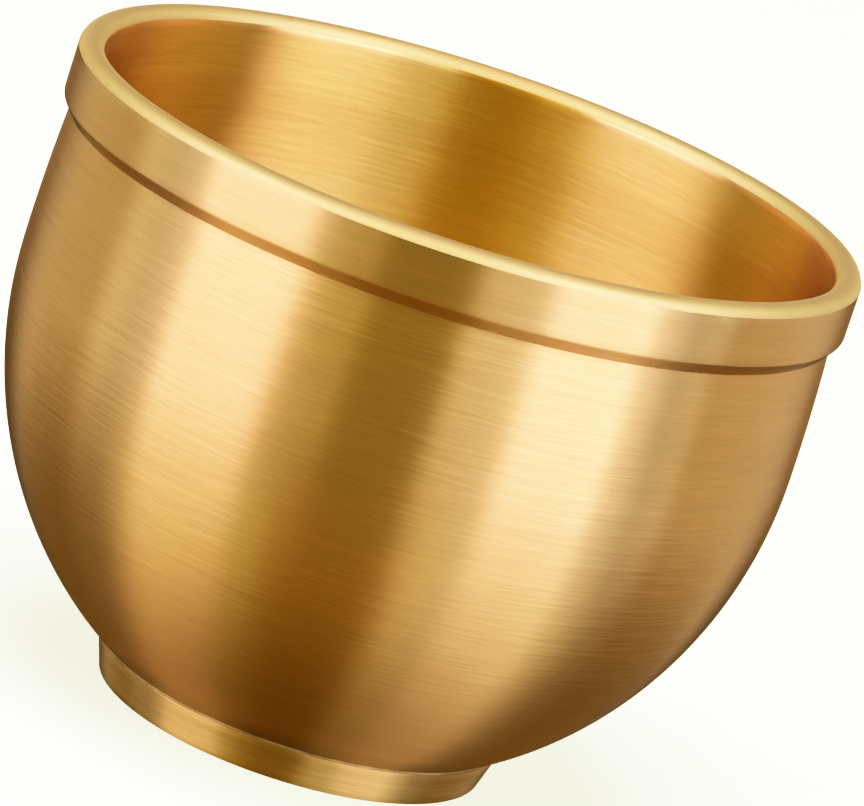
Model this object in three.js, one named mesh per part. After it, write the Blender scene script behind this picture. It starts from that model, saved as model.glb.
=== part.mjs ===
// Shaving bowl in brushed brass: a turned cup with a soldered rim band and a soldered foot ring.
// Millimetres, +Z up. The origin is the middle of the plane that the foot stands on.
import * as THREE from 'three';

// ---- Driving dimensions ----
// Lathe steps round every piece, along each long curve of the cup, and round each small edge.
const TURN_STEPS = 84;
const CURVE_STEPS = 12;
const EDGE_STEPS = 4;

// Foot ring
const FOOT_BASE_RADIUS = 24.75;
const FOOT_EDGE_ROUND = 0.5;
const FOOT_HEIGHT = 4.6;
const FOOT_WALL = 4;
const FOOT_LEDGE = 0.15;

// Cup: half an ellipse below the belly, cut off at the foot, and the start of a longer one above it
const BELLY_RADIUS = 49.35;
const BELLY_HEIGHT = 49.6;
const ELLIPSE_SINK = 3;
const RISE_ABOVE_BELLY = 111;
const CUP_WALL = 2;
const FLOOR_THICKNESS = 2.6;
const BOSS_HEIGHT = 2.3;
const CAVITY_FULLNESS = 2.3;

// Rim band
const RIM_TOP_HEIGHT = 76.6;
const BAND_HEIGHT = 5.9;
const SKIRT_WALL = 1.15;
const COVE_HEIGHT = 1.5;
const CAP_THICKNESS = 2.2;
const OUTER_EDGE_ROUND = 1.6;
const CREST_FLAT = 0.2;
const INNER_LAND = 0.1;

// Joints
const SLIP_FIT = 0.15;
const SOLDER_FILM = 0.3;
const SOLDER_SETBACK = 0.25;

// ---- Heights and radii that follow from them ----
const shoulderHeight = FOOT_HEIGHT + SOLDER_FILM;
const bossBottom = shoulderHeight - BOSS_HEIGHT;
const floorHeight = bossBottom + FLOOR_THICKNESS;
const footInnerRadius = FOOT_BASE_RADIUS - FOOT_WALL;
const shoulderRadius = cupRadius(shoulderHeight);
const rebateHeight = RIM_TOP_HEIGHT - CAP_THICKNESS;
const cupHeight = rebateHeight - SOLDER_FILM;
const bandTop = RIM_TOP_HEIGHT - OUTER_EDGE_ROUND;
const bandBottom = bandTop - BAND_HEIGHT;
const skirtBottom = bandBottom - COVE_HEIGHT;
const neckRadius = cupRadius(skirtBottom);
const skirtRadius = neckRadius + SLIP_FIT;
const rimRadius = skirtRadius + SKIRT_WALL;
const mouthRadius = neckRadius - CUP_WALL;

// The cup's outer radius at a height.
function cupRadius(height) {
  const reach = height < BELLY_HEIGHT ? BELLY_HEIGHT + ELLIPSE_SINK : RISE_ABOVE_BELLY;
  const share = (height - BELLY_HEIGHT) / reach;
  return BELLY_RADIUS * Math.sqrt(1 - share ** 2);
}

// ---- Outlines, as [radius, height] points ----
function roundedCorner(centre, run, rise, startAngle, endAngle) {
  const points = [];
  for (let step = 0; step <= EDGE_STEPS; step += 1) {
    const angle = startAngle + ((endAngle - startAngle) * step) / EDGE_STEPS;
    points.push([centre[0] + run * Math.cos(angle), centre[1] + rise * Math.sin(angle)]);
  }
  return points;
}

// The cup's outside, from the shoulder on the foot up to the foot of the neck.
function cupOutside() {
  const points = [];
  for (let step = 0; step <= CURVE_STEPS; step += 1) {
    const share = step / CURVE_STEPS;
    const height = shoulderHeight + (skirtBottom - shoulderHeight) * share;
    points.push([cupRadius(height), height]);
  }
  return points;
}

// The hollow: an even wall from the mouth to the belly, then a fuller curve to the middle of the floor.
function cupInside() {
  const points = [[mouthRadius, cupHeight], [mouthRadius, skirtBottom]];
  const middleHeight = (skirtBottom + BELLY_HEIGHT) / 2;
  points.push([cupRadius(middleHeight) - CUP_WALL, middleHeight]);
  const depth = BELLY_HEIGHT - floorHeight;
  for (let step = 0; step < CURVE_STEPS; step += 1) {
    const angle = (Math.PI / 2) * (step / CURVE_STEPS);
    const radius = (BELLY_RADIUS - CUP_WALL) * Math.cos(angle) ** (2 / CAVITY_FULLNESS);
    points.push([radius, BELLY_HEIGHT - depth * Math.sin(angle) ** (2 / CAVITY_FULLNESS)]);
  }
  points.push([0, floorHeight]);
  return points;
}

// ---- Solids ----
function turned(name, outline, material) {
  const points = outline.map(([radius, height]) => new THREE.Vector2(radius, height));
  const geometry = new THREE.LatheGeometry(points, TURN_STEPS);
  geometry.rotateX(Math.PI / 2);
  const mesh = new THREE.Mesh(geometry, material);
  mesh.name = name;
  return mesh;
}

function closed(outline) {
  return [...outline, outline[0]];
}

// A boss under the cup centres the foot ring, and a flat shoulder round the boss sits on it.
function bowlBody(material) {
  const bossRadius = footInnerRadius - SLIP_FIT;
  const outline = [
    [0, bossBottom],
    [bossRadius, bossBottom],
    [bossRadius, shoulderHeight],
    ...cupOutside(),
    [neckRadius, cupHeight],
    ...cupInside(),
  ];
  return turned('bowl_body', outline, material);
}

// The band wraps the neck from outside, and its cap covers the top edge of the cup's wall.
function rimBand(material) {
  const crestRadius = rimRadius - OUTER_EDGE_ROUND;
  const innerRun = crestRadius - CREST_FLAT - mouthRadius;
  const innerRise = CAP_THICKNESS - INNER_LAND;
  const outerCentre = [crestRadius, bandTop];
  const innerCentre = [mouthRadius + innerRun, rebateHeight + INNER_LAND];
  const outline = [
    [skirtRadius, skirtBottom],
    [rimRadius, bandBottom],
    ...roundedCorner(outerCentre, OUTER_EDGE_ROUND, OUTER_EDGE_ROUND, 0, Math.PI / 2),
    ...roundedCorner(innerCentre, innerRun, innerRise, Math.PI / 2, Math.PI),
    [mouthRadius, rebateHeight],
    [skirtRadius, rebateHeight],
  ];
  return turned('rim_band', closed(outline), material);
}

function footRing(material) {
  const edgeCentre = [FOOT_BASE_RADIUS - FOOT_EDGE_ROUND, FOOT_EDGE_ROUND];
  const outline = [
    [footInnerRadius, 0],
    ...roundedCorner(edgeCentre, FOOT_EDGE_ROUND, FOOT_EDGE_ROUND, -Math.PI / 2, 0),
    [shoulderRadius + FOOT_LEDGE, FOOT_HEIGHT],
    [footInnerRadius, FOOT_HEIGHT],
  ];
  return turned('foot_ring', closed(outline), material);
}

// A flat ring of solder, as thick as the joint it fills and set back from both edges.
function solderRing(name, innerRadius, outerRadius, bottom, material) {
  const outline = [
    [innerRadius + SOLDER_SETBACK, bottom],
    [outerRadius - SOLDER_SETBACK, bottom],
    [outerRadius - SOLDER_SETBACK, bottom + SOLDER_FILM],
    [innerRadius + SOLDER_SETBACK, bottom + SOLDER_FILM],
  ];
  return turned(name, closed(outline), material);
}

// ---- Materials ----
function metal(color, roughness) {
  return new THREE.MeshStandardMaterial({ color, roughness, metalness: 1 });
}

const cupBrass = metal('#c99a4e', 0.34);
const rimBrass = metal('#d0a35a', 0.3);
const footBrass = metal('#c0904a', 0.36);
const solderMetal = metal('#b9ae97', 0.45);

// ---- The bowl ----
const bowl = new THREE.Group();
bowl.add(bowlBody(cupBrass));
bowl.add(rimBand(rimBrass));
bowl.add(footRing(footBrass));
bowl.add(solderRing('rim_solder', mouthRadius, neckRadius, cupHeight, solderMetal));
bowl.add(solderRing('foot_solder', footInnerRadius, shoulderRadius, FOOT_HEIGHT, solderMetal));

export default bowl;
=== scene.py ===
import math

import bmesh
import bpy
from mathutils import Matrix, Vector


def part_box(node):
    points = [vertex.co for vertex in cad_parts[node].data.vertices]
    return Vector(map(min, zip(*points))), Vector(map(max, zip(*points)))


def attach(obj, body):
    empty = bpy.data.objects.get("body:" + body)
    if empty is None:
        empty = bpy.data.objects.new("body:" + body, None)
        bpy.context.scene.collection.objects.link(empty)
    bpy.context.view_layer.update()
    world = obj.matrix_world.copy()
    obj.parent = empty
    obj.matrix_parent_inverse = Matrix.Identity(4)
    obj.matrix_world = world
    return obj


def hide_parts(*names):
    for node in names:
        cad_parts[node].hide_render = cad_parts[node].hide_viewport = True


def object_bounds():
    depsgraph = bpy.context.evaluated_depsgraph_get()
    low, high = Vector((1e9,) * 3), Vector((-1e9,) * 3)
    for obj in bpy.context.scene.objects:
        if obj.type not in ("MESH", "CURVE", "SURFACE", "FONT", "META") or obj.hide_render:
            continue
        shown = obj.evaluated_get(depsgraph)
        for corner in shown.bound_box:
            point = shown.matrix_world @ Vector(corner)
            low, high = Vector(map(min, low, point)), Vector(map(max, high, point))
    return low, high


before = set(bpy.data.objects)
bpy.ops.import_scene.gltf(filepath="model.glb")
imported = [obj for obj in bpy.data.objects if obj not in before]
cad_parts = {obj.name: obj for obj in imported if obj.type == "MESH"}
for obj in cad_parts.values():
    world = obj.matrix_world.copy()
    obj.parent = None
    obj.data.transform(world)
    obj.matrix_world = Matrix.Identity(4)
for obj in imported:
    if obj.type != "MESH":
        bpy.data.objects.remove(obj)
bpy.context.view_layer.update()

MM = 0.001

# ---- Sizes read from the frame ----
CUP_LOW, CUP_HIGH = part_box("bowl_body")
BAND_LOW, BAND_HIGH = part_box("rim_band")
FOOT_LOW, FOOT_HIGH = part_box("foot_ring")
RIM_FILM_LOW, RIM_FILM_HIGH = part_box("rim_solder")
FOOT_FILM_LOW, FOOT_FILM_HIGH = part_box("foot_solder")

BELLY_RADIUS = CUP_HIGH.x
RIM_RADIUS = BAND_HIGH.x
FOOT_TOP_RADIUS = FOOT_HIGH.x
SHOULDER_HEIGHT = FOOT_FILM_HIGH.z
RIM_TOP = BAND_HIGH.z
SKIRT_BOTTOM = BAND_LOW.z

# ---- Sizes that the boxes don't give ----
BELLY_HEIGHT = 49.6 * MM
ELLIPSE_SINK = 3 * MM
RISE_ABOVE_BELLY = 111 * MM
CUP_WALL = 2 * MM
CAVITY_FULLNESS = 2.3
FLOOR_THICKNESS = 2.6 * MM
FOOT_BASE_RADIUS = 24.75 * MM
FOOT_WALL = 4 * MM
SLIP_FIT = 0.15 * MM
COVE_HEIGHT = 1.5 * MM
LIP_ROUND = 1.6 * MM
LIP_CREASE_ANGLE = math.radians(11)
CREST_FLAT = 0.2 * MM
INNER_LAND = 0.1 * MM
SOLDER_SETBACK = 0.25 * MM

# ---- Rounds on the edges ----
BOSS_EDGE = 0.3 * MM
SHOULDER_EDGE = 0.1 * MM
BAND_LOWER_EDGE = 0.18 * MM
FOOT_BASE_EDGE = 0.25 * MM
FOOT_TOP_EDGE = 0.12 * MM
FOOT_INNER_EDGE = 0.3 * MM

# ---- Fineness ----
TURN_STEPS = 240
POINT_SPACING = 1.0 * MM
ARC_STEPS = 8
UPPER_WALL_STEPS = 18
HOLLOW_STEPS = 64
EDGE_SEGMENTS = 3
SHARP_ANGLE = math.radians(32)
MERGE_DISTANCE = 0.001 * MM
RING_TOLERANCE = 0.01 * MM


# ---- Outlines, as (radius, height) ----
def cup_radius(height):
    """The cup's outer radius at a height."""
    reach = BELLY_HEIGHT + ELLIPSE_SINK if height < BELLY_HEIGHT else RISE_ABOVE_BELLY
    return BELLY_RADIUS * math.sqrt(1 - ((height - BELLY_HEIGHT) / reach) ** 2)


def straight(start, end):
    """Points along a straight run, without its last one."""
    run = math.hypot(end[0] - start[0], end[1] - start[1])
    steps = max(1, round(run / POINT_SPACING))
    return [
        (start[0] + (end[0] - start[0]) * step / steps, start[1] + (end[1] - start[1]) * step / steps)
        for step in range(steps)
    ]


def polyline(corners):
    """Points along straight runs from corner to corner."""
    points = []
    for start, end in zip(corners, corners[1:]):
        points += straight(start, end)
    return points + [corners[-1]]


def arc(centre, run, rise, start_angle, end_angle):
    points = []
    for step in range(ARC_STEPS + 1):
        angle = start_angle + (end_angle - start_angle) * step / ARC_STEPS
        points.append((centre[0] + run * math.cos(angle), centre[1] + rise * math.sin(angle)))
    return points


def cup_outside():
    steps = round((SKIRT_BOTTOM - SHOULDER_HEIGHT) / POINT_SPACING)
    points = []
    for step in range(steps + 1):
        height = SHOULDER_HEIGHT + (SKIRT_BOTTOM - SHOULDER_HEIGHT) * step / steps
        points.append((cup_radius(height), height))
    return points


def cup_inside(floor_height):
    """The hollow, from the belly down to the middle of the floor."""
    depth = BELLY_HEIGHT - floor_height
    points = []
    for step in range(HOLLOW_STEPS):
        angle = math.pi / 2 * step / HOLLOW_STEPS
        radius = (BELLY_RADIUS - CUP_WALL) * math.cos(angle) ** (2 / CAVITY_FULLNESS)
        points.append((radius, BELLY_HEIGHT - depth * math.sin(angle) ** (2 / CAVITY_FULLNESS)))
    return points + [(0, floor_height)]


# ---- Turning a piece ----
def turned(name, outline, is_ring, soft_edges, materials, takes_second=None):
    """Spins an outline about the upright axis and rounds the rings at the given (radius, height, size).

    The faces that takes_second picks get the second material.
    """
    bm = bmesh.new()
    verts = [bm.verts.new((radius, 0, height)) for radius, height in outline]
    pairs = list(zip(verts, verts[1:]))
    if is_ring:
        pairs.append((verts[-1], verts[0]))
    edges = [bm.edges.new(pair) for pair in pairs]
    bmesh.ops.spin(
        bm,
        geom=verts + edges,
        axis=(0, 0, 1),
        cent=(0, 0, 0),
        angle=2 * math.pi,
        steps=TURN_STEPS,
        use_merge=True,
    )
    bmesh.ops.remove_doubles(bm, verts=bm.verts, dist=MERGE_DISTANCE)
    bmesh.ops.recalc_face_normals(bm, faces=bm.faces)
    for radius, height, size in soft_edges:
        round_ring(bm, radius, height, size)
    bmesh.ops.recalc_face_normals(bm, faces=bm.faces)
    for face in bm.faces:
        if takes_second and takes_second(face):
            face.material_index = 1
    mesh = bpy.data.meshes.new(name)
    bm.to_mesh(mesh)
    bm.free()
    mesh.shade_smooth()
    mesh.set_sharp_from_angle(angle=SHARP_ANGLE)
    piece = bpy.data.objects.new(name, mesh)
    bpy.context.scene.collection.objects.link(piece)
    for material in materials:
        mesh.materials.append(material)
    return piece


def looks_inwards(face):
    """Picks the hollow: its wall faces the axis and its floor faces up, as the cup's top edge does."""
    least_inward = 0.01
    least_upward = 0.5
    middle = face.calc_center_median()
    outward = Vector((middle.x, middle.y, 0)).normalized()
    return face.normal.dot(outward) < -least_inward or face.normal.z > least_upward


def is_on_ring(vert, radius, height):
    off_radius = abs(math.hypot(vert.co.x, vert.co.y) - radius)
    off_height = abs(vert.co.z - height)
    return off_radius < RING_TOLERANCE and off_height < RING_TOLERANCE


def round_ring(bm, radius, height, size):
    """Rounds the ring of edges at a radius and a height."""
    ring = [edge for edge in bm.edges if all(is_on_ring(vert, radius, height) for vert in edge.verts)]
    bmesh.ops.bevel(
        bm,
        geom=ring,
        offset=size,
        offset_type="OFFSET",
        segments=EDGE_SEGMENTS,
        profile=0.5,
        affect="EDGES",
        material=-1,
        clamp_overlap=True,
    )


# ---- Node tools ----
def new_group(name, inputs, outputs):
    group = bpy.data.node_groups.new(name, "ShaderNodeTree")
    for socket, kind in inputs.items():
        group.interface.new_socket(name=socket, in_out="INPUT", socket_type=kind)
    for socket, kind in outputs.items():
        group.interface.new_socket(name=socket, in_out="OUTPUT", socket_type=kind)
    source = group.nodes.new("NodeGroupInput")
    target = group.nodes.new("NodeGroupOutput")
    return group, source, target


def math_node(tree, operation, first, second=0.0, third=None):
    node = tree.nodes.new("ShaderNodeMath")
    node.operation = operation
    for index, value in enumerate((first, second, third)):
        if value is None:
            continue
        if isinstance(value, (int, float)):
            node.inputs[index].default_value = value
        else:
            tree.links.new(value, node.inputs[index])
    return node.outputs[0]


def link(tree, output, socket):
    tree.links.new(output, socket)


def smooth_range(tree, value, start, end):
    """0 at start, 1 at end, eased at both."""
    node = tree.nodes.new("ShaderNodeMapRange")
    node.interpolation_type = "SMOOTHSTEP"
    link(tree, value, node.inputs["Value"])
    for socket, limit in (("From Min", start), ("From Max", end)):
        if isinstance(limit, (int, float)):
            node.inputs[socket].default_value = limit
        else:
            link(tree, limit, node.inputs[socket])
    return node.outputs[0]


# ---- Camera ----
CAMERA_DISTANCE = 873.03 * MM
CAMERA_ELEVATION = math.radians(14.94)
CAMERA_AZIMUTH = math.radians(-0.31)
CAMERA_ROLL = math.radians(-18.16)
CAMERA_AIM = Vector((4.64 * MM, 0, 44.5 * MM))
CAMERA_LENS = 295.5
CAMERA_SENSOR = 36


def add_camera():
    """Looks at the bowl from the front and a little above, rolled so that the bowl leans to the right."""
    level_share = math.cos(CAMERA_ELEVATION)
    toward_camera = Vector(
        (
            math.sin(CAMERA_AZIMUTH) * level_share,
            -math.cos(CAMERA_AZIMUTH) * level_share,
            math.sin(CAMERA_ELEVATION),
        )
    )
    data = bpy.data.cameras.new("camera")
    data.sensor_width = CAMERA_SENSOR
    data.sensor_fit = "HORIZONTAL"
    data.lens = CAMERA_LENS
    camera = bpy.data.objects.new("camera", data)
    bpy.context.scene.collection.objects.link(camera)
    level = (-toward_camera).to_track_quat("-Z", "Y").to_matrix().to_4x4()
    place = Matrix.Translation(CAMERA_AIM + toward_camera * CAMERA_DISTANCE)
    camera.matrix_world = place @ level @ Matrix.Rotation(-CAMERA_ROLL, 4, "Z")
    bpy.context.scene.camera = camera


# ---- Studio light ----
# Panels of light round the bowl. Each has its direction, from the front towards the right, its half width
# and the softness of its ends, its lowest and highest elevation, all in degrees, and its light.
ALL_ROUND = 180
STRAIGHT_UP = 90
PANEL_EDGE = 0.06
PANELS = {
    "key_left": (-53, 17, 3, -28, 12, (2.9, 2.3, 2.18)),
    "key_left_wing": (-82, 14, 6, -28, 12, (0.8, 0.9, 0.85)),
    "key_left_flag": (-26, 10, 3, -28, 12, (0.55, 0.55, 0.52)),
    "key_left_top": (-59, 24, 5, 12, 55, (6.9, 6.6, 6.27)),
    "key_left_flag_top": (-26, 10, 3, 12, 55, (2.5, 2.7, 0.8)),
    "key_left_table": (-60, 30, 8, -60, -28, (1.1, 1.3, 0.6)),
    "key_right": (50, 15, 3, -28, 12, (2.9, 2.35, 2.23)),
    "key_right_wing": (76, 14, 6, -28, 12, (1.1, 1.2, 1.14)),
    "key_right_flag": (25, 11, 3, -28, 12, (0.65, 0.55, 0.52)),
    "key_right_top": (56, 21, 5, 12, 55, (7.6, 7.6, 7.22)),
    "key_right_flag_top": (25, 11, 3, 12, 55, (4.2, 4.8, 3.7)),
    "key_right_table": (56, 34, 8, -60, -28, (1.2, 1.5, 1.1)),
    "side_left": (-115, 28, 12, -28, 14, (1.1, 1.05, 0.75)),
    "side_left_top": (-113, 28, 12, 14, 55, (1.2, 1.6, 0.6)),
    "side_right": (118, 28, 12, -28, 14, (1.1, 1.05, 0.8)),
    "side_right_top": (114, 28, 12, 14, 55, (1.4, 1.7, 0.7)),
    "front": (0, 16, 4, -28, 12, (0.22, 0.26, 0.25)),
    "front_top": (0, 16, 4, 12, 55, (1.6, 1.6, 0.1)),
    "front_table": (0, 30, 8, -60, -28, (0.65, 0.5, 0.15)),
    "back": (180, 34, 12, -8, 12, (2, 1.7, 1)),
    "back_top": (180, 34, 12, 12, 55, (0.6, 0.5, 0.47)),
    "table": (0, ALL_ROUND, 0, -STRAIGHT_UP, -28, (0.25, 0.17, 0.02)),
    "overhead": (0, ALL_ROUND, 0, 55, STRAIGHT_UP, (1.6, 1.5, 1)),
}
BACKDROP = (2.5, 2.5, 2.47, 1)

FLOOR_LIGHT_SIZE = 0.9
FLOOR_LIGHT_POWER = 14
FLOOR_LIGHT_PLACE = (-0.1, -0.15, 1.1)
FLOOR_LIGHT_TURN = (math.radians(-8), math.radians(-5), 0)
FLOOR_SIZE = 6
FLOOR_COLOUR = (0.88, 0.88, 0.93, 1)
FLOOR_ROUGHNESS = 0.9
FLOOR_SHEEN = 0.1

TONE_CONTRAST = 1.6
TONE_STEPS = 24
BRIGHTEST = 4.0


def panel_group():
    """Light from one panel in the direction looked at."""
    group, source, target = new_group(
        "panel",
        {
            "Centre": "NodeSocketVector",
            "Outer": "NodeSocketFloat",
            "Inner": "NodeSocketFloat",
            "Low": "NodeSocketFloat",
            "High": "NodeSocketFloat",
            "Edge": "NodeSocketFloat",
            "Light": "NodeSocketVector",
        },
        {"Light": "NodeSocketVector"},
    )
    direction = group.nodes.new("ShaderNodeTexCoord").outputs["Generated"]
    flat = group.nodes.new("ShaderNodeVectorMath")
    flat.operation = "MULTIPLY"
    flat.inputs[1].default_value = (1, 1, 0)
    link(group, direction, flat.inputs[0])
    level = group.nodes.new("ShaderNodeVectorMath")
    level.operation = "NORMALIZE"
    link(group, flat.outputs[0], level.inputs[0])
    facing = group.nodes.new("ShaderNodeVectorMath")
    facing.operation = "DOT_PRODUCT"
    link(group, level.outputs[0], facing.inputs[0])
    link(group, source.outputs["Centre"], facing.inputs[1])
    across = smooth_range(group, facing.outputs["Value"], source.outputs["Outer"], source.outputs["Inner"])
    split = group.nodes.new("ShaderNodeSeparateXYZ")
    link(group, direction, split.inputs[0])
    height = split.outputs["Z"]
    low_end = math_node(group, "ADD", source.outputs["Low"], source.outputs["Edge"])
    high_end = math_node(group, "SUBTRACT", source.outputs["High"], source.outputs["Edge"])
    above = smooth_range(group, height, source.outputs["Low"], low_end)
    below = smooth_range(group, height, source.outputs["High"], high_end)
    mask = math_node(group, "MULTIPLY", math_node(group, "MULTIPLY", across, above), below)
    lit = group.nodes.new("ShaderNodeVectorMath")
    lit.operation = "SCALE"
    link(group, source.outputs["Light"], lit.inputs[0])
    link(group, mask, lit.inputs["Scale"])
    link(group, lit.outputs[0], target.inputs["Light"])
    return group


def ends_across(half_width, softness):
    """Cosines where a panel begins and where it is full. One that goes all round is always full."""
    below_any_cosine = (-3, -2)
    if half_width == ALL_ROUND:
        return below_any_cosine
    return math.cos(math.radians(half_width + softness)), math.cos(math.radians(half_width - softness))


def end_upwards(elevation):
    """The height of a direction. One straight up or down is pushed past 1, so that its edge is full."""
    past_the_end = 1.5
    if abs(elevation) == STRAIGHT_UP:
        return math.copysign(past_the_end, elevation)
    return math.sin(math.radians(elevation))


def add_colours(tree, first, second):
    node = tree.nodes.new("ShaderNodeVectorMath")
    node.operation = "ADD"
    link(tree, first, node.inputs[0])
    link(tree, second, node.inputs[1])
    return node.outputs[0]


def add_world():
    """The panels light the bowl, and the camera sees a plain bright backdrop instead of them."""
    world = bpy.data.worlds.new("studio")
    bpy.context.scene.world = world
    world.use_nodes = True
    tree = world.node_tree
    tree.nodes.clear()
    group = panel_group()
    total = None
    for name, (centre, half_width, softness, low, high, light) in PANELS.items():
        node = tree.nodes.new("ShaderNodeGroup")
        node.name = name
        node.node_tree = group
        angle = math.radians(centre)
        node.inputs["Centre"].default_value = (math.sin(angle), -math.cos(angle), 0)
        outer, inner = ends_across(half_width, softness)
        node.inputs["Outer"].default_value = outer
        node.inputs["Inner"].default_value = inner
        node.inputs["Low"].default_value = end_upwards(low)
        node.inputs["High"].default_value = end_upwards(high)
        node.inputs["Edge"].default_value = PANEL_EDGE
        node.inputs["Light"].default_value = light
        total = add_colours(tree, total, node.outputs[0]) if total else node.outputs[0]
    studio = tree.nodes.new("ShaderNodeBackground")
    link(tree, total, studio.inputs["Color"])
    backdrop = tree.nodes.new("ShaderNodeBackground")
    backdrop.inputs["Color"].default_value = BACKDROP
    mix = tree.nodes.new("ShaderNodeMixShader")
    light_path = tree.nodes.new("ShaderNodeLightPath")
    link(tree, light_path.outputs["Is Camera Ray"], mix.inputs[0])
    link(tree, studio.outputs[0], mix.inputs[1])
    link(tree, backdrop.outputs[0], mix.inputs[2])
    output = tree.nodes.new("ShaderNodeOutputWorld")
    link(tree, mix.outputs[0], output.inputs["Surface"])


def add_floor_light():
    """A wide lamp overhead that lights the floor and isn't mirrored in the metal."""
    data = bpy.data.lights.new("floor_light", "AREA")
    data.shape = "DISK"
    data.size = FLOOR_LIGHT_SIZE
    data.energy = FLOOR_LIGHT_POWER
    lamp = bpy.data.objects.new("floor_light", data)
    lamp.location = FLOOR_LIGHT_PLACE
    lamp.rotation_euler = FLOOR_LIGHT_TURN
    lamp.visible_glossy = False
    lamp.visible_camera = False
    bpy.context.scene.collection.objects.link(lamp)


def add_floor():
    """Pale paper that takes the bowl's shadow and isn't mirrored in the metal."""
    bm = bmesh.new()
    bmesh.ops.create_grid(bm, x_segments=1, y_segments=1, size=FLOOR_SIZE)
    mesh = bpy.data.meshes.new("floor")
    bm.to_mesh(mesh)
    bm.free()
    material = bpy.data.materials.new("floor_paper")
    material.use_nodes = True
    shader = material.node_tree.nodes["Principled BSDF"]
    shader.inputs["Base Color"].default_value = FLOOR_COLOUR
    shader.inputs["Roughness"].default_value = FLOOR_ROUGHNESS
    shader.inputs["Specular IOR Level"].default_value = FLOOR_SHEEN
    mesh.materials.append(material)
    floor = bpy.data.objects.new("floor", mesh)
    floor.location.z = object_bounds()[0].z
    floor.visible_glossy = False
    floor.visible_shadow = False
    bpy.context.scene.collection.objects.link(floor)


def set_tone_curve():
    """A film-like curve. The darks fall off faster than the light, and the highlights ease into white."""
    all_channels = 3
    settings = bpy.context.scene.view_settings
    settings.view_transform = "Standard"
    settings.use_curve_mapping = True
    mapping = settings.curve_mapping
    mapping.white_level = (BRIGHTEST, BRIGHTEST, BRIGHTEST)
    curve = mapping.curves[all_channels]
    for step in range(1, TONE_STEPS):
        share = (step / TONE_STEPS) ** 2
        light = share * BRIGHTEST
        curve.points.new(share, 1 - math.exp(-(light**TONE_CONTRAST)))
    mapping.update()


# ---- Brass ----
# Marks are lines per metre up the wall, breaks per metre round it, and the detail of their noise.
FINE_MARKS = (3600, 150, 2)
COARSE_MARKS = (1300, 90, 2)
STREAKS = (420, 60, 2)

# Clouds are patches per metre and the detail of their noise.
TARNISH_PATCHES = (38, 3)
TARNISH_SPECKS = (900, 2)
# Breaks in the rubbed edges and their painted highlight.
WEAR_AND_HIGHLIGHT_BREAKS = (260, 3)
# The ragged top edge of the painted shade above the foot.
FOOT_SHADE_RAGGEDNESS = (250, 2)

TARNISH_ROUGHENS = 0.05
WEAR_SMOOTHS = 0.06
ALONG_THE_LINES = 0.25

NICK_SPACING = 70
NICK_SIZE = 0.016
NICK_DEPTH = 0.025 * MM
NICK_RARITY = 0.86

# Painted shade: the cup's wall darkens just above the seam of the foot, where the foot shades it.
FOOT_SHADE_COLOUR = (0.4, 0.28, 0.12)
FOOT_SHADE_SHARE = 0.75
FOOT_SHADE_HEIGHT = 4 * MM
FOOT_SHADE_WANDER = 0.8 * MM


def radius_and_height(group):
    """X, Y, and a measure that grows both up a wall and outwards across a flat face."""
    coordinates = group.nodes.new("ShaderNodeTexCoord").outputs["Object"]
    split = group.nodes.new("ShaderNodeSeparateXYZ")
    link(group, coordinates, split.inputs[0])
    x, y, z = split.outputs
    x_square = math_node(group, "MULTIPLY", x, x)
    y_square = math_node(group, "MULTIPLY", y, y)
    radius = math_node(group, "SQRT", math_node(group, "ADD", x_square, y_square))
    return x, y, math_node(group, "ADD", radius, z)


def turning_marks_group():
    """Lines left by turning and brushing.

    Pitch is lines per metre up the wall, and Reach is breaks per metre round it.
    """
    group, source, target = new_group(
        "turning_marks",
        {"Pitch": "NodeSocketFloat", "Reach": "NodeSocketFloat", "Detail": "NodeSocketFloat"},
        {"Lines": "NodeSocketFloat"},
    )
    x, y, along = radius_and_height(group)
    join = group.nodes.new("ShaderNodeCombineXYZ")
    link(group, math_node(group, "MULTIPLY", x, source.outputs["Reach"]), join.inputs[0])
    link(group, math_node(group, "MULTIPLY", y, source.outputs["Reach"]), join.inputs[1])
    link(group, math_node(group, "MULTIPLY", along, source.outputs["Pitch"]), join.inputs[2])
    noise = group.nodes.new("ShaderNodeTexNoise")
    noise.inputs["Scale"].default_value = 1
    noise.inputs["Roughness"].default_value = 0.6
    link(group, source.outputs["Detail"], noise.inputs["Detail"])
    link(group, join.outputs[0], noise.inputs["Vector"])
    link(group, noise.outputs["Fac"], target.inputs["Lines"])
    return group


def place_marks(tree, marks, pitch, reach, detail):
    node = tree.nodes.new("ShaderNodeGroup")
    node.node_tree = marks
    node.inputs["Pitch"].default_value = pitch
    node.inputs["Reach"].default_value = reach
    node.inputs["Detail"].default_value = detail
    return node.outputs["Lines"]


def cloud(tree, scale, detail):
    """Soft patches, about one in every 1 / scale metres."""
    noise = tree.nodes.new("ShaderNodeTexNoise")
    noise.inputs["Scale"].default_value = scale
    noise.inputs["Detail"].default_value = detail
    link(tree, tree.nodes.new("ShaderNodeTexCoord").outputs["Object"], noise.inputs["Vector"])
    return noise.outputs["Fac"]


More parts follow.
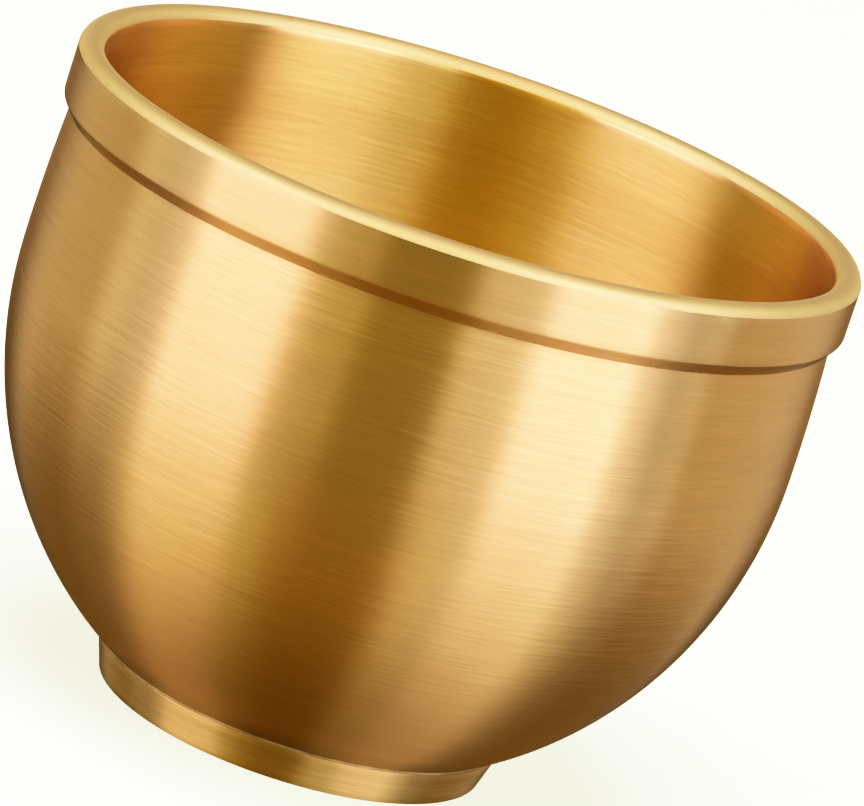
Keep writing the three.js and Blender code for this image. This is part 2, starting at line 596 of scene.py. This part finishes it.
def brushing_group():
    """The relief and the tone of brushed brass. Depths are in metres, spreads are shares."""
    group, source, target = new_group(
        "brushing",
        {
            "Fine Depth": "NodeSocketFloat",
            "Coarse Depth": "NodeSocketFloat",
            "Streak Depth": "NodeSocketFloat",
            "Tone Spread": "NodeSocketFloat",
        },
        {"Height": "NodeSocketFloat", "Tone": "NodeSocketFloat"},
    )
    marks = turning_marks_group()
    fine = place_marks(group, marks, *FINE_MARKS)
    coarse = place_marks(group, marks, *COARSE_MARKS)
    streaks = place_marks(group, marks, *STREAKS)
    height = math_node(group, "MULTIPLY", fine, source.outputs["Fine Depth"])
    height = math_node(group, "MULTIPLY_ADD", coarse, source.outputs["Coarse Depth"], height)
    height = math_node(group, "MULTIPLY_ADD", streaks, source.outputs["Streak Depth"], height)
    link(group, height, target.inputs["Height"])
    mean_of_three = 1.5
    together = math_node(group, "ADD", math_node(group, "ADD", fine, coarse), streaks)
    off_mean = math_node(group, "SUBTRACT", together, mean_of_three)
    spread = math_node(group, "MULTIPLY", off_mean, source.outputs["Tone Spread"])
    link(group, math_node(group, "ADD", spread, 1), target.inputs["Tone"])
    return group


def tarnish_group():
    """Where the brass has dulled in soft patches, from 0 to 1."""
    group, source, target = new_group(
        "tarnish",
        {"Amount": "NodeSocketFloat"},
        {"Mask": "NodeSocketFloat"},
    )
    least_share, speck_share = 0.6, 0.5
    patches = smooth_range(group, cloud(group, *TARNISH_PATCHES), 0.38, 0.72)
    specks = smooth_range(group, cloud(group, *TARNISH_SPECKS), 0.5, 0.75)
    share = math_node(group, "MULTIPLY_ADD", specks, speck_share, least_share)
    both = math_node(group, "MULTIPLY", patches, share)
    link(group, math_node(group, "MULTIPLY", both, source.outputs["Amount"]), target.inputs["Mask"])
    return group


def wear_and_edge_highlight_group():
    """1 on edges that handling has rubbed smooth, where a lighter colour also paints a highlight, broken
    up by a fine noise.
    """
    group, source, target = new_group(
        "wear_and_edge_highlight",
        {"Amount": "NodeSocketFloat"},
        {"Mask": "NodeSocketFloat"},
    )
    least_share, broken_share = 0.5, 0.5
    bend = group.nodes.new("ShaderNodeNewGeometry").outputs["Pointiness"]
    edge = smooth_range(group, bend, 0.515, 0.57)
    broken = smooth_range(group, cloud(group, *WEAR_AND_HIGHLIGHT_BREAKS), 0.3, 0.6)
    share = math_node(group, "MULTIPLY_ADD", broken, broken_share, least_share)
    worn_and_highlit = math_node(group, "MULTIPLY", edge, share)
    link(group, math_node(group, "MULTIPLY", worn_and_highlit, source.outputs["Amount"]), target.inputs["Mask"])
    return group


def nicks_group():
    """Small dents, sparse and unevenly spaced.

    Spacing is cells per metre, and Size is a dent's radius in cells. Few cells hold a dent.
    """
    group, source, target = new_group(
        "nicks",
        {"Spacing": "NodeSocketFloat", "Size": "NodeSocketFloat"},
        {"Mask": "NodeSocketFloat"},
    )
    cells = group.nodes.new("ShaderNodeTexVoronoi")
    link(group, group.nodes.new("ShaderNodeTexCoord").outputs["Object"], cells.inputs["Vector"])
    link(group, source.outputs["Spacing"], cells.inputs["Scale"])
    dent = smooth_range(group, cells.outputs["Distance"], source.outputs["Size"], 0.0)
    pick = group.nodes.new("ShaderNodeSeparateColor")
    link(group, cells.outputs["Color"], pick.inputs[0])
    chosen = math_node(group, "GREATER_THAN", pick.outputs[0], NICK_RARITY)
    link(group, math_node(group, "MULTIPLY", dent, chosen), target.inputs["Mask"])
    return group


def mix_colours(tree, share, first, second):
    """The first colour where share is 0, the second where it is 1."""
    colour_a, colour_b, colour_result = 6, 7, 2
    node = tree.nodes.new("ShaderNodeMix")
    node.data_type = "RGBA"
    link(tree, share, node.inputs[0])
    for socket, colour in ((node.inputs[colour_a], first), (node.inputs[colour_b], second)):
        if isinstance(colour, tuple):
            socket.default_value = (*colour, 1)
        else:
            link(tree, colour, socket)
    return node.outputs[colour_result]


def place_group(tree, group, output, **values):
    """Places a group with its own values, and gives back the output asked for and the node."""
    node = tree.nodes.new("ShaderNodeGroup")
    node.node_tree = group
    for socket, value in values.items():
        node.inputs[socket.replace("_", " ").title()].default_value = value
    return node.outputs[output], node


def painted_foot_shade_mask(tree, low, high):
    """Painted shade on the cup's wall just above the seam of the foot, darkest at the seam and fading out
    upwards.
    """
    split = tree.nodes.new("ShaderNodeSeparateXYZ")
    link(tree, tree.nodes.new("ShaderNodeTexCoord").outputs["Object"], split.inputs[0])
    ragged = cloud(tree, *FOOT_SHADE_RAGGEDNESS)
    height = math_node(tree, "MULTIPLY_ADD", ragged, FOOT_SHADE_WANDER, split.outputs["Z"])
    return math_node(tree, "MULTIPLY", smooth_range(tree, height, high, low), FOOT_SHADE_SHARE)


def brass(name, groups, finish):
    """Brushed brass. The lines run round the piece, so a highlight is drawn out up and down."""
    material = bpy.data.materials.new(name)
    material.use_nodes = True
    tree = material.node_tree
    shader = tree.nodes["Principled BSDF"]
    shader.inputs["Metallic"].default_value = 1
    shader.inputs["Anisotropic"].default_value = finish["anisotropy"]
    shader.inputs["Anisotropic Rotation"].default_value = ALONG_THE_LINES
    tangent = tree.nodes.new("ShaderNodeTangent")
    tangent.direction_type = "RADIAL"
    tangent.axis = "Z"
    link(tree, tangent.outputs[0], shader.inputs["Tangent"])

    tone, brushing = place_group(
        tree,
        groups["brushing"],
        "Tone",
        fine_depth=finish["fine_depth"],
        coarse_depth=finish["coarse_depth"],
        streak_depth=finish["streak_depth"],
        tone_spread=finish["tone_spread"],
    )
    tarnish, _ = place_group(tree, groups["tarnish"], "Mask", amount=finish["tarnish"])
    wear_and_highlight, _ = place_group(tree, groups["wear_and_edge_highlight"], "Mask", amount=finish["wear_and_edge_highlight"])
    nick, _ = place_group(tree, groups["nicks"], "Mask", spacing=NICK_SPACING, size=NICK_SIZE)

    colour = mix_colours(tree, tarnish, finish["colour"], finish["tarnished"])
    # Rubbed edges take a lighter colour, which also paints a highlight along them.
    colour = mix_colours(tree, wear_and_highlight, colour, finish["polished_and_highlit"])
    # Painted shade darkens the cup's wall above the seam of the foot.
    if "corner" in finish:
        colour = mix_colours(tree, painted_foot_shade_mask(tree, *finish["corner"]), colour, FOOT_SHADE_COLOUR)
    scaled = tree.nodes.new("ShaderNodeVectorMath")
    scaled.operation = "SCALE"
    link(tree, colour, scaled.inputs[0])
    link(tree, tone, scaled.inputs["Scale"])
    link(tree, scaled.outputs[0], shader.inputs["Base Color"])

    duller = math_node(tree, "MULTIPLY_ADD", tarnish, TARNISH_ROUGHENS, finish["roughness"])
    roughness = math_node(tree, "MULTIPLY_ADD", wear_and_highlight, -WEAR_SMOOTHS, duller)
    link(tree, roughness, shader.inputs["Roughness"])

    dented = math_node(tree, "MULTIPLY_ADD", nick, -NICK_DEPTH, brushing.outputs["Height"])
    bump = tree.nodes.new("ShaderNodeBump")
    bump.inputs["Strength"].default_value = 1
    bump.inputs["Distance"].default_value = 1
    link(tree, dented, bump.inputs["Height"])
    link(tree, bump.outputs[0], shader.inputs["Normal"])
    return material


# Every finish starts from brushed brass and changes what differs.
BRASS = {
    "colour": (0.86, 0.52, 0.31),
    "tarnished": (0.79, 0.5, 0.26),
    # The lighter colour of rubbed edges, which is also a painted highlight along them.
    "polished_and_highlit": (0.92, 0.66, 0.45),
    "roughness": 0.3,
    "anisotropy": 1.0,
    "fine_depth": 0.014 * MM,
    "coarse_depth": 0.04 * MM,
    "streak_depth": 0.03 * MM,
    "tone_spread": 0.12,
    "tarnish": 0.5,
    "wear_and_edge_highlight": 0.5,
}
FINISHES = {
    # The cup's outside gets painted shade above the seam of the foot.
    "cup_brass": {**BRASS, "corner": (SHOULDER_HEIGHT, SHOULDER_HEIGHT + FOOT_SHADE_HEIGHT)},
    "cup_inside_brass": {
        **BRASS,
        "colour": (0.84, 0.545, 0.27),
        "tarnished": (0.77, 0.49, 0.2),
        "roughness": 0.42,
        "streak_depth": 0.1 * MM,
        "tone_spread": 0.06,
        "tarnish": 0.8,
        "wear_and_edge_highlight": 0.1,
    },
    "rim_brass": {
        **BRASS,
        "colour": (0.86, 0.53, 0.32),
        "coarse_depth": 0.02 * MM,
        "streak_depth": 0.02 * MM,
    },
    "lip_brass": {
        **BRASS,
        "colour": (0.75, 0.545, 0.37),
        "tarnished": (0.7, 0.49, 0.3),
        "roughness": 0.6,
        "anisotropy": 0.0,
        "tone_spread": 0.08,
        "streak_depth": 0.02 * MM,
        "wear_and_edge_highlight": 0.1,
    },
    "foot_brass": {
        **BRASS,
        "colour": (0.74, 0.47, 0.26),
        "tarnished": (0.62, 0.4, 0.2),
        "roughness": 0.34,
        "tone_spread": 0.22,
        "streak_depth": 0.06 * MM,
        "wear_and_edge_highlight": 0.2,
    },
    # Solder is a dark joint, and its near-black colour also paints the shadow line where the foot meets
    # the cup.
    "solder": {
        **BRASS,
        "colour": (0.2, 0.15, 0.08),
        "tarnished": (0.16, 0.12, 0.06),
        "roughness": 0.5,
        "anisotropy": 0.3,
    },
}


# ---- Pieces ----
def make_cup(materials):
    boss_radius = FOOT_BASE_RADIUS - FOOT_WALL - SLIP_FIT
    boss_bottom = CUP_LOW.z
    neck = cup_radius(SKIRT_BOTTOM)
    mouth = neck - CUP_WALL
    outside = cup_outside()
    boss = [(0, boss_bottom), (boss_radius, boss_bottom), (boss_radius, SHOULDER_HEIGHT), outside[0]]
    top_edge = [outside[-1], (neck, CUP_HIGH.z), (mouth, CUP_HIGH.z), (mouth, SKIRT_BOTTOM)]
    outline = polyline(boss) + outside[1:-1] + polyline(top_edge)[:-1]
    for step in range(UPPER_WALL_STEPS):
        height = SKIRT_BOTTOM + (BELLY_HEIGHT - SKIRT_BOTTOM) * step / UPPER_WALL_STEPS
        outline.append((cup_radius(height) - CUP_WALL, height))
    outline += cup_inside(boss_bottom + FLOOR_THICKNESS)
    soft_edges = [
        (boss_radius, boss_bottom, BOSS_EDGE),
        (cup_radius(SHOULDER_HEIGHT), SHOULDER_HEIGHT, SHOULDER_EDGE),
    ]
    return turned("brass_cup", outline, False, soft_edges, materials, looks_inwards)


def make_band(materials):
    neck = cup_radius(SKIRT_BOTTOM)
    mouth = neck - CUP_WALL
    skirt = neck + SLIP_FIT
    crest = RIM_RADIUS - LIP_ROUND
    crease = math.sin(LIP_CREASE_ANGLE) * LIP_ROUND
    lip_centre = RIM_TOP - LIP_ROUND
    band_bottom = SKIRT_BOTTOM + COVE_HEIGHT
    under_cap = RIM_FILM_HIGH.z
    lip = arc((crest, lip_centre), LIP_ROUND, LIP_ROUND, LIP_CREASE_ANGLE, math.pi / 2)
    inner_run = crest - CREST_FLAT - mouth
    inner_rise = RIM_TOP - under_cap - INNER_LAND
    inner_centre = (mouth + inner_run, under_cap + INNER_LAND)
    inner = arc(inner_centre, inner_run, inner_rise, math.pi / 2, math.pi)
    cove_and_face = [(skirt, SKIRT_BOTTOM), (RIM_RADIUS, band_bottom), (RIM_RADIUS, lip_centre + crease)]
    rebate = [(mouth, under_cap), (skirt, under_cap), (skirt, SKIRT_BOTTOM)]
    outline = polyline(cove_and_face) + lip + inner + polyline(rebate)[:-1]
    soft_edges = [(RIM_RADIUS, band_bottom, BAND_LOWER_EDGE)]

    def is_lip(face):
        return face.calc_center_median().z > lip_centre + crease

    return turned("brass_rim_band", outline, True, soft_edges, materials, is_lip)


def make_foot(material):
    inner = FOOT_BASE_RADIUS - FOOT_WALL
    corners = [
        (inner, FOOT_LOW.z),
        (FOOT_BASE_RADIUS, FOOT_LOW.z),
        (FOOT_TOP_RADIUS, FOOT_HIGH.z),
        (inner, FOOT_HIGH.z),
        (inner, FOOT_LOW.z),
    ]
    soft_edges = [
        (FOOT_BASE_RADIUS, FOOT_LOW.z, FOOT_BASE_EDGE),
        (FOOT_TOP_RADIUS, FOOT_HIGH.z, FOOT_TOP_EDGE),
        (inner, FOOT_LOW.z, FOOT_INNER_EDGE),
    ]
    return turned("brass_foot_ring", polyline(corners)[:-1], True, soft_edges, [material])


def make_film(name, low, high, inner, outer, material):
    corners = [(inner, low.z), (outer, low.z), (outer, high.z), (inner, high.z), (inner, low.z)]
    return turned(name, polyline(corners)[:-1], True, (), [material])


def make_rim_film(material):
    """Dressed flush with the wall of the hollow."""
    inner = cup_radius(SKIRT_BOTTOM) - CUP_WALL
    outer = RIM_FILM_HIGH.x
    return make_film("rim_solder_film", RIM_FILM_LOW, RIM_FILM_HIGH, inner, outer, material)


def make_foot_film(material):
    """Dressed flush with the edge of the cup's shoulder. Its near-black solder also paints the shadow line
    where the foot meets the cup.
    """
    inner = FOOT_BASE_RADIUS - FOOT_WALL + SOLDER_SETBACK
    outer = cup_radius(SHOULDER_HEIGHT)
    return make_film("foot_solder_film", FOOT_FILM_LOW, FOOT_FILM_HIGH, inner, outer, material)


# ---- The bowl ----
add_camera()
add_world()
add_floor_light()
add_floor()
set_tone_curve()

surface_groups = {
    "brushing": brushing_group(),
    "tarnish": tarnish_group(),
    "wear_and_edge_highlight": wear_and_edge_highlight_group(),
    "nicks": nicks_group(),
}
metals = {name: brass(name, surface_groups, finish) for name, finish in FINISHES.items()}

PIECES = [
    (make_cup([metals["cup_brass"], metals["cup_inside_brass"]]), "bowl_body", "cup_brass"),
    (make_band([metals["rim_brass"], metals["lip_brass"]]), "rim_band", "rim_brass"),
    (make_foot(metals["foot_brass"]), "foot_ring", "foot_brass"),
    (make_rim_film(metals["cup_inside_brass"]), "rim_solder", "solder"),
    (make_foot_film(metals["solder"]), "foot_solder", "solder"),
]
for piece, node, slot in PIECES:
    # The pale floor isn't tinted by light off the brass.
    piece.visible_diffuse = False
    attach(piece, "root")
    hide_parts(node)
